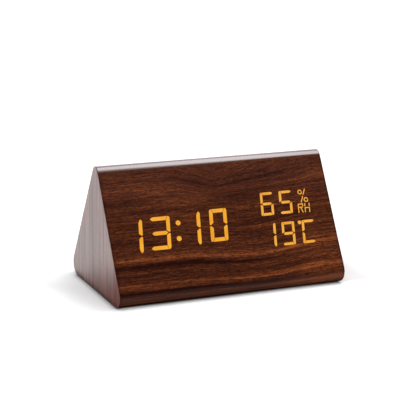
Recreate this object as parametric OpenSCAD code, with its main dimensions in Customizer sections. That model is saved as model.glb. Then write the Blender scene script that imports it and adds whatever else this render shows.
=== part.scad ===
// Three-sided LED desk clock with walnut veneer over fibreboard panels.
// X runs along the ridge, the display faces -Y, and Z = 0 is the underside of the feet.

/* [Body] */
// Length of the body along its ridge
body_length = 150; // [135:0.5:220]
// Depth over the two rounded lower edges
body_depth = 84.5; // [83:0.5:100]
// Slope of the front and rear faces, in degrees
face_angle = 60; // [58:0.5:62]
// Radius of the two lower edges
lower_edge_r = 7.5; // [5:0.5:9]
// Radius of the ridge
ridge_r = 5; // [3:0.5:7]
// Thickness of the front, rear and base panels
panel_t = 6; // [5.5:0.25:7]
// Thickness of the end panels
end_panel_t = 5; // [4:0.25:5.5]
// Thickness of the veneer
veneer_t = 0.4; // [0.3:0.05:0.6]
// Diameter of a rubber foot
foot_d = 10; // [6:0.5:14]
// Height of a rubber foot
foot_h = 0.4; // [0.3:0.1:3]
// Distance from a foot's centre to the near end of the body
foot_end_inset = 12; // [9:0.5:20]
// Distance between the front and rear rows of feet
foot_row_gap = 52; // [48:0.5:54]

/* [Display] */
// Height of the time digits
digit_h = 20.3; // [18:0.1:21]
// Width of the time digits
digit_w = 11.6; // [10:0.1:12]
// Stroke of the time digits
digit_stroke = 2.35; // [2:0.05:2.8]
// Distance between the two digits of a pair
digit_spacing = 17.8; // [16:0.1:18]
// Distance between the two digits beside the colon
colon_spacing = 19.9; // [18:0.1:20.2]
// Place of the middle of the time row along the face
time_u = -31.8; // [-32:0.05:-28]
// Height of the time row above the middle of the face
time_v = -1.45; // [-3:0.05:3]
// Rise of the time row for each millimetre along the face, as in the photo
time_rise = 0.04; // [0:0.002:0.06]
// Diameter of a colon dot
colon_dot_d = 3.1; // [2:0.1:4]
// Distance between the colon dots
colon_dot_gap = 9.7; // [7:0.1:11]
// Shift of the colon from the middle of the time row
colon_shift = 1.2; // [-1:0.1:1.5]
// Height of the humidity and temperature digits
small_h = 14.8; // [12:0.1:15.2]
// Width of the humidity and temperature digits
small_w = 8.8; // [7:0.1:9.2]
// Stroke of the humidity and temperature digits
small_stroke = 1.65; // [1.4:0.05:2]
// Distance between the humidity or temperature digits
small_spacing = 13; // [12.2:0.1:13.4]
// Place of the first humidity and temperature digit along the face
small_u = 29.8; // [28:0.1:30.4]
// Height of the humidity row above the middle of the face
humidity_v = 9.9; // [9.4:0.1:11]
// Height of the temperature row above the middle of the face
temperature_v = -10.1; // [-11:0.1:-9]
// Distance from the last humidity digit to its unit
unit_spacing = 12.5; // [11.6:0.1:12.8]
// Distance from the last temperature digit to its letter
letter_spacing = 14.1; // [13.4:0.1:14.4]
// Height of the unit's letters
mark_h = 5.9; // [5:0.1:6.2]
// Width of the unit's letters
mark_w = 3.7; // [3.2:0.1:4]
// Stroke of the unit's marks
mark_stroke = 0.65; // [0.6:0.05:0.95]
// Diameter of the unit's rings
ring_d = 3.1; // [2.8:0.1:3.4]
// Diameter of the degree dot
degree_d = 2.4; // [1.6:0.1:2.6]
// Lean of the digits, in degrees
digit_lean = 7; // [0:0.5:8]
// Web of veneer between two segments
segment_gap = 0.25; // [0.2:0.05:0.4]
// Web of veneer between the upper and the lower half of a digit
waist_gap = 0.8; // [0.4:0.1:1.2]
// How far the bars of a time digit run out past its side where no upright is lit
time_run_out = 0.9; // [0:0.1:1]
// The same for the humidity and temperature digits, whose bars stop short of the side
small_run_out = -0.4; // [-0.6:0.1:0]
// Thickness of the frosted sheet behind the veneer
diffuser_t = 0.3; // [0.2:0.05:0.6]
// Wall of the reflector round its outermost segments
chamber_wall = 1.1; // [0.8:0.1:1.4]
// Panel left between the display's window and the end panel
display_margin = 1.8; // [0.8:0.1:6]
// Thickness of the reflector's rear flange
reflector_flange_t = 2; // [1.5:0.25:3]
// Overlap of the flange above and below the window
reflector_lap = 6; // [5:0.25:7]
// Thickness of the circuit boards
board_t = 1.6; // [1:0.1:2]

/* [Rear plate] */
// Width of the plate
plate_w = 104; // [102:1:116]
// Height of the plate
plate_h = 30; // [29:0.5:33]
// Thickness of the plate
plate_t = 2; // [1.6:0.1:3]
// Corner radius of the plate
plate_r = 3; // [1:0.25:4]
// Width of the plate's seat on the panel
plate_lip = 6; // [5:0.25:6.5]
// Height of the plate's middle above the middle of the rear face
plate_v = -8; // [-9:0.5:-4]
// Diameter of a button
button_d = 8; // [6:0.25:9]
// Distance between the buttons
button_spacing = 15; // [13:0.5:15.5]
// Place of the middle button along the plate
button_u = -2; // [-3:0.5:1]
// Height of a button above the plate
button_rise = 1.2; // [0.9:0.1:3]
// Travel of a button
button_travel = 0.6; // [0.3:0.05:0.7]
// Distance from the power inlet's middle to its end of the plate
usb_inset = 19; // [17:0.5:21]
// Distance from the middle of the vents to their end of the plate
sensor_inset = 21; // [20:0.5:23]
// Number of vent slots
vent_count = 5; // [3:1:6]

/* [Battery tray] */
// Diameter of a cell
cell_d = 10.5; // [9:0.1:10.8]
// Length of a cell with its nub
cell_l = 44.5; // [40:0.25:52]
// Wall of the tray round the cells
tray_wall = 2.6; // [2.2:0.1:3.5]
// Thickness of the tray's flange
tray_flange_t = 2.6; // [2.4:0.1:3]
// Thickness of the door
door_t = 2.2; // [1.8:0.1:2.3]

/* [Fits] */
// Gap round a piece that drops into a cut-out
drop_gap = 0.2; // [0.1:0.05:0.4]
// Gap round a button in its hole
button_gap = 0.25; // [0.15:0.05:0.4]
// Gap round the door in its opening
door_gap = 0.25; // [0.2:0.05:0.4]
// Radial clearance of a pin or screw in its hole
pin_gap = 0.05; // [0.03:0.01:0.1]

/* [Hidden] */

// Facets of large and small rounds, how far a cutter runs past a face, how deep fused solids overlap, and
// how far a round of the body stands above the flats it runs into, so that they cross at a clear edge
fine = 96;
small = 40;
over = 1;
fuse = 0.01;
round_rise = 0.002;

// Section of the body: a triangle of base base_w and height tri_h, measured to its sharp corners
base_w = body_depth + 2 * lower_edge_r * (1 / tan(face_angle / 2) - 1);
tri_h = base_w / 2 * tan(face_angle);
mid_z = base_w / 2 * tan(face_angle / 2);
edge_y = base_w / 2 - lower_edge_r / tan(face_angle / 2);
ridge_z = tri_h - ridge_r / cos(face_angle);
skin_t = veneer_t + panel_t;
inner_length = body_length - 2 * veneer_t - 2 * end_panel_t;

// Stack behind the front face, as depths below the veneer's outer surface
diffuser_back = veneer_t + diffuser_t;
board_front = skin_t + reflector_flange_t;
board_back = board_front + board_t;

// Places along the rear plate
usb_u = usb_inset - plate_w / 2;
sensor_u = plate_w / 2 - sensor_inset;

// Stack behind the rear plate
button_flange_gap = 0.1;
button_flange_t = 1;
button_flange_lap = 1.2;
stem_d = 4;
stem_l = 1.9;
stem_end = plate_t + button_flange_gap + button_flange_t + stem_l;
plunger_d = 3.4;
plunger_rise = 1;
plunger_l = 2.2;
plunger_spare = 0.2;
plunger_bore_l = plunger_l - plunger_rise + button_travel + plunger_spare;
housing_w = 6;
housing_t = 3.5;
button_board_front = stem_end + plunger_rise + housing_t;
button_board_back = button_board_front + board_t;
button_board_edge = 0.5;
button_board_w = plate_w - 2 * plate_lip - 2 * button_board_edge;
button_board_h = plate_h - 2 * plate_lip - 2 * button_board_edge;
post_d = 4.4;
post_inset = 3;

// Stack above the tray's underside, for cells that lie side by side
cell_count = 3;
bay_gap = 0.4;
cell_gap = 0.5;
contact_t = 0.4;
nub_h = 0.9;
nub_d = 3.8;
spring_reach = 3.6;
bay_l = cell_l + contact_t + spring_reach;
bay_w = cell_count * cell_d + (cell_count - 1) * cell_gap + 2 * bay_gap;
cell_lift = 0.3;
bay_h = cell_d + 2 * cell_lift;
tray_l = bay_l + 2 * tray_wall;
tray_w = bay_w + 2 * tray_wall;
tray_roof_t = 1.5;
tray_lip_l = 7;
tray_lip_w = 3.6;
tray_flange_l = tray_l + 2 * tray_lip_l;
tray_flange_w = tray_w + 2 * tray_lip_w;
tray_flange_r = 2.5;
tray_top = tray_flange_t + bay_h + tray_roof_t;
cell_z = tray_flange_t + cell_lift + cell_d / 2;
door_seat = 1.2;
door_l = bay_l + 2 * door_seat;
door_w = bay_w + 2 * door_seat;
door_inset = (tray_flange_t - door_t) / 2;
hinge_x = -door_l / 2 + door_t / 2;
hinge_z = tray_flange_t / 2;
hinge_pin_r = 0.75;
hinge_pin_l = 1.6;

// Fasteners
screw_d = 2;
screw_head_d = 4;
screw_head_t = 1.3;
pilot_web = 0.8;
pilot_spare = 0.2;
post_pilot = 3.6;
small_screw_d = 1.6;
small_screw_head_d = 3.2;
small_screw_head_t = 1;

// Depth of a blind hole for a screw in fibreboard of the given thickness
function pilot(depth) = depth - pilot_web;

// Seven-segment digits, each with its middle, its height, its width, its stroke and its lit segments
lean = tan(digit_lean);
ALL = [0, 1, 2, 3, 4, 5, 6];
ZERO = [0, 1, 2, 3, 4, 5];
ONE = [1, 2];
THREE = [0, 1, 2, 3, 6];
FIVE = [0, 2, 3, 5, 6];
SIX = [0, 2, 3, 4, 5, 6];
NINE = [0, 1, 2, 3, 5, 6];
LETTER_C = [0, 3, 4, 5];
pair_u = (colon_spacing + digit_spacing) / 2;
outer_u = pair_u + digit_spacing / 2;
inner_u = pair_u - digit_spacing / 2;
letter_u = small_u + small_spacing + letter_spacing;
unit_u = small_u + small_spacing + unit_spacing;
time_digits = [
    [time_u - outer_u, time_v - time_rise * outer_u, ONE],
    [time_u - inner_u, time_v - time_rise * inner_u, THREE],
    [time_u + inner_u, time_v + time_rise * inner_u, ONE],
    [time_u + outer_u, time_v + time_rise * outer_u, ZERO]
];
degree_at = [
    letter_u - small_w / 2 - degree_d / 2 - segment_gap,
    temperature_v + (small_h - degree_d) / 2
];
humidity_digits = [[small_u, humidity_v, SIX], [small_u + small_spacing, humidity_v, FIVE]];
temperature_digits = [
    [small_u, temperature_v, ONE],
    [small_u + small_spacing, temperature_v, NINE],
    [letter_u, temperature_v, LETTER_C]
];

// The display is spread along the face until its first digit reaches display_margin from the end of the panel
display_reach = outer_u - time_u + digit_w / 2 + (digit_h / 2 - time_digits[0][1]) * lean;
spread = (inner_length / 2 - chamber_wall - display_margin) / display_reach;

// Window of the display, just wide enough for every digit
window_left = -spread * display_reach - chamber_wall;
window_right = spread * (letter_u + small_w / 2) + chamber_wall;
window_top = humidity_v + small_h / 2 + chamber_wall;
window_bottom = temperature_v - small_h / 2 - chamber_wall;
window_w = window_right - window_left;
window_h = window_top - window_bottom;
window_mid = [(window_left + window_right) / 2, (window_top + window_bottom) / 2];
board_w = window_w - 2 * drop_gap;
board_h = window_h + 2 * reflector_lap;
board_screw_inset = 5;
board_screw_u = [board_screw_inset - board_w / 2, 0, board_w / 2 - board_screw_inset];

// Placing

// Front face: x along the body, y up the slope from its middle, z out of the veneer
module on_front() {
    translate([0, -base_w / 4, foot_h + tri_h / 2]) rotate([face_angle, 0, 0]) children();
}

module on_rear() {
    rotate([0, 0, 180]) on_front() children();
}

module on_base() {
    translate([0, 0, foot_h]) children();
}

module along_body(length, start) {
    translate([start, 0, foot_h]) rotate([90, 0, 90]) linear_extrude(length) children();
}

// Flat shape between two depths below the face
module sheet(from, to) {
    translate([0, 0, -to]) linear_extrude(to - from) children();
}

// Outlines

module rounded_rect(w, h, r) {
    square([w - 2 * r, h], center = true);
    square([w, h - 2 * r], center = true);
    for (x = [-1, 1], y = [-1, 1])
        translate([x * (w / 2 - r), y * (h / 2 - r)]) circle(r, $fn = small);
}

module stadium(w, h) {
    square([w - h, h], center = true);
    for (x = [-1, 1]) translate([x * (w - h) / 2, 0]) circle(d = h, $fn = small);
}

// Body outline moved inwards by inset, with true arcs at its three corners
module rounded_triangle(inset) {
    er = lower_edge_r - inset;
    rr = ridge_r - inset;
    slope = [sin(face_angle), cos(face_angle)];
    polygon([
        [-edge_y, inset], [edge_y, inset],
        [edge_y + er * slope[0], lower_edge_r + er * slope[1]], [rr * slope[0], ridge_z + rr * slope[1]],
        [-rr * slope[0], ridge_z + rr * slope[1]], [-edge_y - er * slope[0], lower_edge_r + er * slope[1]]
    ]);
    for (y = [-1, 1]) translate([y * edge_y, lower_edge_r]) circle(er + round_rise, $fn = fine);
    translate([0, ridge_z]) circle(rr + round_rise, $fn = fine);
}

// One panel of the section, cut off at the mitres that run to the middle of the triangle
module panel_outline(corner_a, corner_b) {
    share = skin_t / mid_z;
    inner = [for (corner = [corner_b, corner_a]) corner + ([0, mid_z] - corner) * share];
    intersection() {
        rounded_triangle(veneer_t);
        polygon(concat([corner_a, corner_b], inner));
    }
}

// Ends of a segment, in strokes from the digit's side and top: the rounded tip of an upright, its slanted end
// at the waist, the end of a bar beside an upright, the point of the middle bar and the end of a free bar
UPRIGHT_TIP = [[1, 0.95], [0.78, 0.35], [0.58, 0.03], [0.38, 0], [0.2, 0.1], [0, 0.5]];
UPRIGHT_WAIST = [[0, 0.12], [0.12, 0], [0.4, 0.02], [1, 0.5]];
BAR_END = [[0.58, 0], [0.78, 0.35], [1, 1]];
WAIST_END = [[1, 0], [0.5, 0.5], [1, 1]];
FREE_END = [[0.7, 0], [0.25, 0.15], [0, 0.45], [0.1, 0.65], [0.6, 1]];

function flip(points, x, y) = [for (p = points) [x * p[0], y * p[1]]];
function reverse(list) = [for (i = [len(list) - 1 : -1 : 0]) list[i]];
function lit(k, on) = len(search(k, on)) > 0;

// Right-hand end of a bar whose upper edge is at top, beside an upright or free
function bar_end(free, at_waist, run_out, x, top, t) =
    free ? [for (p = FREE_END) [x + run_out - t * p[0], top - t * p[1]]]
         : [for (p = at_waist ? WAIST_END : BAR_END) [x - segment_gap - t * p[0], top - t * p[1]]];

// Upper or middle bar, with its two ends free where the uprights named beside them are dark
function bar(on, rights, lefts, at_waist, run_out, x, top, t) =
    let (ends = [for (side = [rights, lefts]) len([for (k = side) if (lit(k, on)) k]) == 0])
    concat(
        bar_end(ends[0], at_waist, run_out, x, top, t),
        [for (p = reverse(bar_end(ends[1], at_waist, run_out, x, top, t))) [-p[0], p[1]]]
    );

// Corner points of one segment, 0 to 6 for the seven segments of a digit whose lit segments are given
function segment(k, w, h, t, on, run_out) =
    let (x = w / 2, y = h / 2)
    k == 0 ? bar(on, [1], [5], false, run_out, x, y, t)
    : k == 3 ? flip(bar(on, [2], [4], false, run_out, x, y, t), 1, -1)
    : k == 6 ? bar(on, [1, 2], [4, 5], true, min(run_out, 0), x, t / 2, t)
    : flip(concat(
        [for (p = UPRIGHT_TIP) [x - t * p[0], y - t * p[1]]],
        [for (p = UPRIGHT_WAIST) [x - t * p[0], waist_gap / 2 + t * p[1]]]
    ), k == 1 || k == 2 ? 1 : -1, k == 1 || k == 5 ? 1 : -1);

// Place on the face of a point of the display, which leans with its height
function leaned(p) = [spread * (p[0] + p[1] * lean), p[1]];
function placed(points, digit) = [for (p = points) leaned([p[0] + digit[0], p[1] + digit[1]])];

module digits_outline(digits, w, h, t, run_out, every) {
    for (digit = digits, k = every ? ALL : digit[2])
        polygon(placed(segment(k, w, h, t, every ? ALL : digit[2], run_out), digit));
}

module dot(u, v, d) {
    translate(leaned([u, v])) circle(d = d, $fn = small);
}

module colon_outline() {
    for (side = [-1, 1]) dot(time_u + colon_shift, time_v + side * colon_dot_gap / 2, colon_dot_d);
}

module degree_outline() {
    dot(degree_at[0], degree_at[1], degree_d);
}

// A straight stroke of the unit between two points
function stroke(a, b) =
    let (along = (b - a) / norm(b - a), side = [-along[1], along[0]] * mark_stroke / 2)
    [a - side, b - side, b + side, a + side];

// Percent sign above the letters R and H, about the middle of the humidity row
unit_at = [unit_u, humidity_v];
ring_high = [-2.1, 5.6];
ring_low = [1.8, 0.4];
slash = [[-1.7, -1.2], [-0.25, 2.9], [0.05, 3.75], [1.5, 7.4]];
letter_r_at = [-2.4, -4.8];
letter_h_at = [2.2, -4.8];
letter_x = (mark_w - mark_stroke) / 2;
letter_y = (mark_h - mark_stroke) / 2;

module mark_stroke_outline(a, b, at) {
    polygon(placed(stroke(a, b), unit_at + at));
}

module ring_outline(at) {
    difference() {
        dot(unit_u + at[0], humidity_v + at[1], ring_d);
        dot(unit_u + at[0], humidity_v + at[1], ring_d - 2 * mark_stroke);
        translate(leaned(unit_at + at) + [ring_d / 2, 0]) square([ring_d, segment_gap], center = true);
    }
}

module unit_outline() {
    half = mark_stroke / 2;
    waist = 0.1 * mark_h;
    ring_outline(ring_high);
    ring_outline(ring_low);
    mark_stroke_outline(slash[0], slash[1], [0, 0]);
    mark_stroke_outline(slash[2], slash[3], [0, 0]);
    // Letter R: stem and bowl, with a web of veneer that carries the bowl's middle
    mark_stroke_outline([-letter_x, -letter_y - half], [-letter_x, letter_y + half], letter_r_at);
    mark_stroke_outline([-letter_x, letter_y], [letter_x, letter_y], letter_r_at);
    mark_stroke_outline([letter_x, letter_y + half], [letter_x, waist + half + segment_gap], letter_r_at);
    mark_stroke_outline([-letter_x, waist], [letter_x, waist], letter_r_at);
    mark_stroke_outline([0, waist], [letter_x, -letter_y - half], letter_r_at);
    // Letter H, with a web across each stem above the bar
    for (x = [-letter_x, letter_x]) {
        mark_stroke_outline([x, -letter_y - half], [x, half], letter_h_at);
        mark_stroke_outline([x, half + waist], [x, letter_y + half], letter_h_at);
    }
    mark_stroke_outline([-letter_x, 0], [letter_x, 0], letter_h_at);
}

module time_outline(every) {
    digits_outline(time_digits, digit_w, digit_h, digit_stroke, time_run_out, every);
    colon_outline();
}

module humidity_outline(every) {
    digits_outline(humidity_digits, small_w, small_h, small_stroke, small_run_out, every);
    unit_outline();
}

module temperature_outline(every) {
    digits_outline(temperature_digits, small_w, small_h, small_stroke, small_run_out, every);
    degree_outline();
}

// Body panels

module front_panel() {
    color("burlywood") difference() {
        along_body(inner_length, -inner_length / 2) panel_outline([-base_w / 2, 0], [0, tri_h]);
        on_front() {
            sheet(-over, skin_t + over) translate(window_mid) square([window_w, window_h], center = true);
            at_board_screws() translate([0, 0, -skin_t - over])
                cylinder(r = screw_d / 2 + pin_gap, h = over + pilot(panel_t), $fn = small);
        }
    }
}

module rear_panel() {
    color("burlywood") difference() {
        along_body(inner_length, -inner_length / 2) panel_outline([base_w / 2, 0], [0, tri_h]);
        on_rear() {
            sheet(-over, skin_t + over) plate_cutout(-plate_lip);
            sheet(-over, plate_t) plate_cutout(drop_gap);
            at_plate_screws() translate([0, 0, -plate_t - pilot(skin_t - plate_t)])
                cylinder(r = screw_d / 2 + pin_gap, h = pilot(skin_t - plate_t) + over, $fn = small);
        }
    }
}

module base_panel() {
    color("burlywood") difference() {
        along_body(inner_length, -inner_length / 2) panel_outline([-base_w / 2, 0], [base_w / 2, 0]);
        on_base() {
            translate([0, 0, -over]) linear_extrude(skin_t + 2 * over)
                square([tray_l + 2 * drop_gap, tray_w + 2 * drop_gap], center = true);
            tray_recess();
            at_tray_screws() cylinder(
                r = screw_d / 2 + pin_gap, h = tray_flange_t + pilot(skin_t - tray_flange_t), $fn = small);
        }
    }
}

module end_panel(start) {
    color("burlywood") along_body(end_panel_t, start) rounded_triangle(veneer_t);
}

module left_end_panel() { end_panel(-inner_length / 2 - end_panel_t); }

module right_end_panel() { end_panel(inner_length / 2); }

// Veneer

module walnut_wrap() {
    color("saddlebrown") difference() {
        along_body(body_length - 2 * veneer_t, veneer_t - body_length / 2) difference() {
            rounded_triangle(0);
            rounded_triangle(veneer_t);
        }
        on_front() sheet(-over, diffuser_back) {
            time_outline(false);
            humidity_outline(false);
            temperature_outline(false);
        }
        on_rear() sheet(-over, veneer_t + over) plate_cutout(drop_gap);
        on_base() tray_recess();
    }
}

module end_veneer(start) {
    color("sienna") along_body(veneer_t, start) rounded_triangle(0);
}

module left_end_veneer() { end_veneer(-body_length / 2); }

module right_end_veneer() { end_veneer(body_length / 2 - veneer_t); }

module rubber_feet() {
    color("dimgray") for (x = [-1, 1], y = [-1, 1])
        translate([x * (body_length / 2 - foot_end_inset), y * foot_row_gap / 2, 0])
            cylinder(d = foot_d, h = foot_h, $fn = small);
}

// Display

module at_board_screws() {
    for (u = board_screw_u, side = [-1, 1])
        translate([window_mid[0] + u, window_mid[1] + side * (window_h + reflector_lap) / 2, 0]) children();
}

// Pan-head screw with its head's seat at z = 0 and its shank along -z
module screw(d, head_d, head_t, length) {
    slot_w = head_d * 0.16;
    slot_l = head_d * 0.62;
    difference() {
        union() {
            translate([0, 0, -length]) cylinder(d = d, h = length + fuse, $fn = small);
            cylinder(d = head_d, h = head_t, $fn = small);
        }
        for (a = [0, 90]) rotate(a) translate([0, 0, head_t])
            cube([slot_l, slot_w, head_t], center = true);
    }
}

module display_diffuser() {
    color("white") on_front() sheet(veneer_t, diffuser_back) translate(window_mid)
        square([board_w, window_h - 2 * drop_gap], center = true);
}

module display_reflector() {
    color("whitesmoke") on_front() difference() {
        union() {
            sheet(diffuser_back, board_front) translate(window_mid)
                square([board_w, window_h - 2 * drop_gap], center = true);
            sheet(skin_t, board_front) translate(window_mid) square([board_w, board_h], center = true);
        }
        sheet(0, board_front + over) {
            time_outline(true);
            humidity_outline(true);
            temperature_outline(true);
        }
        at_board_screws() translate([0, 0, -board_front - over])
            cylinder(r = screw_d / 2 + pin_gap, h = reflector_flange_t + 2 * over, $fn = small);
    }
}

module led_board() {
    color("darkgreen") on_front() difference() {
        sheet(board_front, board_back) translate(window_mid) square([board_w, board_h], center = true);
        at_board_screws() translate([0, 0, -board_back - over])
            cylinder(r = screw_d / 2 + pin_gap, h = board_t + 2 * over, $fn = small);
    }
}

// One LED in the middle of each chamber
led = [1.6, 0.8, 0.6];
mark_led = [1, 0.5, 0.4];

module led_at(p, size, angle) {
    translate([p[0], p[1], size[2] / 2 - board_front]) rotate(angle) cube(size, center = true);
}

module digit_leds(digits, w, h, t) {
    for (digit = digits) {
        for (v = [-1, 0, 1]) led_at(leaned([digit[0], digit[1] + v * (h - t) / 2]), led, 0);
        for (u = [-1, 1], v = [-1, 1])
            led_at(leaned([digit[0] + u * (w - t) / 2, digit[1] + v * h / 4]), led, 90 - digit_lean);
    }
}

module led_chips() {
    ring_track = (ring_d - mark_stroke) / 2;
    color("lightyellow") on_front() {
        digit_leds(time_digits, digit_w, digit_h, digit_stroke);
        digit_leds(humidity_digits, small_w, small_h, small_stroke);
        digit_leds(temperature_digits, small_w, small_h, small_stroke);
        for (side = [-1, 1])
            led_at(leaned([time_u + colon_shift, time_v + side * colon_dot_gap / 2]), led, 0);
        led_at(leaned(degree_at), mark_led, 0);
        for (at = [ring_high, ring_low]) led_at(leaned(unit_at + at) + [0, -ring_track], mark_led, 0);
        for (i = [0, 2]) {
            run = slash[i + 1] - slash[i];
            led_at(leaned(unit_at + (slash[i] + slash[i + 1]) / 2), mark_led,
                   atan2(run[1], run[0] + run[1] * lean));
        }
        for (at = [letter_r_at, letter_h_at])
            led_at(leaned(unit_at + at + [-letter_x, -letter_y / 2]), mark_led, 90 - digit_lean);
    }
}

module board_screws() {
    color("silver") on_front() at_board_screws() translate([0, 0, -board_back]) rotate([180, 0, 0])
        screw(screw_d, screw_head_d, screw_head_t,
              board_t + reflector_flange_t + pilot(panel_t) - pilot_spare);
}

// The lit window of a segment stands a hair above the veneer
segment_rise = 0.03;

module time_segments() {
    color("orange") on_front() sheet(-segment_rise, veneer_t) time_outline(false);
}

module humidity_segments() {
    color("orange") on_front() sheet(-segment_rise, veneer_t) humidity_outline(false);
}

module temperature_segments() {
    color("orange") on_front() sheet(-segment_rise, veneer_t) temperature_outline(false);
}

// Parts soldered to the back of the display board, each at its place on the face
chip_at = [-42, 4];
chip_size = [18, 7.6, 2.3];
driver_size = [10.2, 6.2, 1.8];
driver_at = [[8, 8], [38, 8]];
crystal_at = [-56, 4];
crystal_size = [4.6, 10.8, 3.6];
capacitor_at = [[-54, -11], [46, -11]];
capacitor_d = 6.3;
capacitor_l = 7;
capacitor_groove_z = 1.2;
capacitor_groove = 0.35;
buzzer_at = [24, -9];
buzzer_d = 12;
buzzer_l = 8.5;
buzzer_hole_d = 2;
buzzer_hole_l = 1;
socket_at = [0, -3];
socket_size = [7.4, 5, 6];
lead_spacing = 2.5;
lead_d = 1.3;
ribbon_x = -22;
ribbon_v = 10;
ribbon_w = 10;
ribbon_t = 0.8;
ribbon_socket = [14, 4.4, 2.6];

module on_board_back(at) {
    on_front() translate([spread * at[0], at[1], -board_back]) rotate([180, 0, 0]) children();
}

module package(size) {
    translate([-size[0] / 2, -size[1] / 2, 0]) cube(size);
}

module microcontroller() {
    pin_one_d = 1.2;
    pin_one_inset = 2;
    pin_one_depth = 0.2;
    color("black") on_board_back(chip_at) difference() {
        package(chip_size);
        translate([-chip_size[0] / 2, -chip_size[1] / 2, chip_size[2]])
            translate([pin_one_inset, pin_one_inset, -pin_one_depth])
                cylinder(d = pin_one_d, h = over, $fn = small);
    }
}

module led_drivers() {
    color("black") for (at = driver_at) on_board_back(at) package(driver_size);
}

module crystal() {
    color("silver") on_board_back(crystal_at) linear_extrude(crystal_size[2]) rotate(90)
        stadium(crystal_size[1], crystal_size[0]);
}

module capacitors() {
    color("midnightblue") for (at = capacitor_at) on_board_back(at) difference() {
        cylinder(d = capacitor_d, h = capacitor_l, $fn = small);
        translate([0, 0, capacitor_groove_z]) difference() {
            cylinder(d = capacitor_d + over, h = capacitor_groove, $fn = small);
            translate([0, 0, -over])
                cylinder(d = capacitor_d - 2 * capacitor_groove, h = capacitor_l, $fn = small);
        }
    }
}

module buzzer() {
    color("black") on_board_back(buzzer_at) difference() {
        cylinder(d = buzzer_d, h = buzzer_l, $fn = small);
        translate([0, 0, buzzer_l - buzzer_hole_l])
            cylinder(d = buzzer_hole_d, h = buzzer_hole_l + over, $fn = small);
    }
}

module battery_socket() {
    color("ivory") on_board_back(socket_at) package(socket_size);
}

module ribbon_sockets() {
    color("ivory") {
        on_board_back([ribbon_x, ribbon_v]) package(ribbon_socket);
        on_rear() translate([-spread * ribbon_x, plate_v, -button_board_back]) rotate([180, 0, 0])
            package(ribbon_socket);
    }
}

// Point of the section at a height up a face and a depth below it; side is -1 at the front, 1 at the rear
function face_point(side, v, depth) = [
    side * (base_w / 4 - v * cos(face_angle) - depth * sin(face_angle)),
    foot_h + tri_h / 2 + v * sin(face_angle) - depth * cos(face_angle)
];
function inward(side) = [-side * sin(face_angle), -cos(face_angle)];

// Smooth curve from a to b that leaves a along out_a and reaches b against out_b
function curve(a, out_a, b, out_b, steps) = [
    for (i = [0 : steps]) let (t = i / steps, s = 1 - t)
        s * s * s * a + 3 * s * s * t * (a + out_a) + 3 * s * t * t * (b + out_b) + t * t * t * b
];
function heading(path, i) =
    let (step = path[min(i + 1, len(path) - 1)] - path[max(i - 1, 0)]) step / norm(step);

module ribbon_cable() {
    steps = 24;
    reach = 9;
    start = face_point(1, plate_v, button_board_back + ribbon_socket[2]);
    end = face_point(-1, ribbon_v, board_back + ribbon_socket[2]);
    path = curve(start, inward(1) * reach, end, inward(-1) * reach, steps);
    edge = [for (i = [0 : steps]) let (h = i == 0 ? inward(1) : i == steps ? -inward(-1) : heading(path, i))
            [-h[1], h[0]] * ribbon_t / 2];
    above = [for (i = [0 : steps]) path[i] + edge[i]];
    below = [for (i = [steps : -1 : 0]) path[i] - edge[i]];
    color("lightgray") translate([spread * ribbon_x - ribbon_w / 2, 0, 0]) rotate([90, 0, 90])
        linear_extrude(ribbon_w) polygon(concat(above, below));
}

// Round wire swept along a path that never runs straight along aside
module wire(path, d, aside) {
    sides = 8;
    rings = len(path);
    ring_points = [
        for (i = [0 : rings - 1])
            let (h = heading(path, i), n = cross(h, aside) / norm(cross(h, aside)), b = cross(h, n))
            for (j = [0 : sides - 1]) let (turn = 360 * j / sides)
                path[i] + d / 2 * (cos(turn) * n + sin(turn) * b)
    ];
    walls = [
        for (i = [0 : rings - 2], j = [0 : sides - 1])
            let (a = i * sides + j, b = i * sides + (j + 1) % sides)
            each [[a, b, a + sides], [b, b + sides, a + sides]]
    ];
    first = [for (j = [1 : sides - 2]) [0, j + 1, j]];
    last = [for (j = [1 : sides - 2]) [0, j, j + 1] + [1, 1, 1] * (rings - 1) * sides];
    polyhedron(ring_points, concat(walls, first, last));
}

// Lead from a contact's tab at one end of the tray, up past the tray and into the socket
module battery_lead(end, cell) {
    steps = 12;
    straight = 1.5;
    out = [end, 0, 0];
    into = [0, sin(face_angle), -cos(face_angle)];
    plug = face_point(-1, socket_at[1], board_back + socket_size[2]);
    tab_tip = [end * (tray_l / 2 + tab_l), cell_y(cell), foot_h + cell_z];
    plug_tip = [spread * socket_at[0] + end * lead_spacing / 2, plug[0], plug[1]];
    bend = 6;
    crest_out = 10;
    crest_rise = 5;
    crest = [end * (tray_l / 2 + crest_out), cell_y(cell) / 2, foot_h + tray_top + crest_rise];
    low = curve(tab_tip + straight * out, bend * out, crest, [0, 0, -bend], steps);
    high = curve(crest, [0, 0, bend], plug_tip + straight * into, 2 * bend * into, steps);
    wire(concat([tab_tip], low, [for (i = [1 : steps]) high[i]], [plug_tip]), lead_d, [0.1, 1, 0.35]);
}

module positive_lead() { color("firebrick") battery_lead(1, cell_count - 1); }

module negative_lead() { color("black") battery_lead(-1, 0); }

// Rear controls

module plate_cutout(grow) {
    translate([0, plate_v])
        rounded_rect(plate_w + 2 * grow, plate_h + 2 * grow, max(plate_r + grow, plate_r / 2));
}

module at_plate_screws() {
    for (x = [-1, 1], y = [-1, 1])
        translate([x * (plate_w - plate_lip) / 2, plate_v + y * (plate_h - plate_lip) / 2, 0]) children();
}

module at_posts() {
    for (x = [-1, 1], y = [-1, 1]) translate([0, plate_v, 0])
        translate([x * (button_board_w / 2 - post_inset), y * (button_board_h / 2 - post_inset), 0])
            children();
}

module at_button(i) {
    on_rear() translate([button_u + i * button_spacing, plate_v, 0]) children();
}

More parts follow.
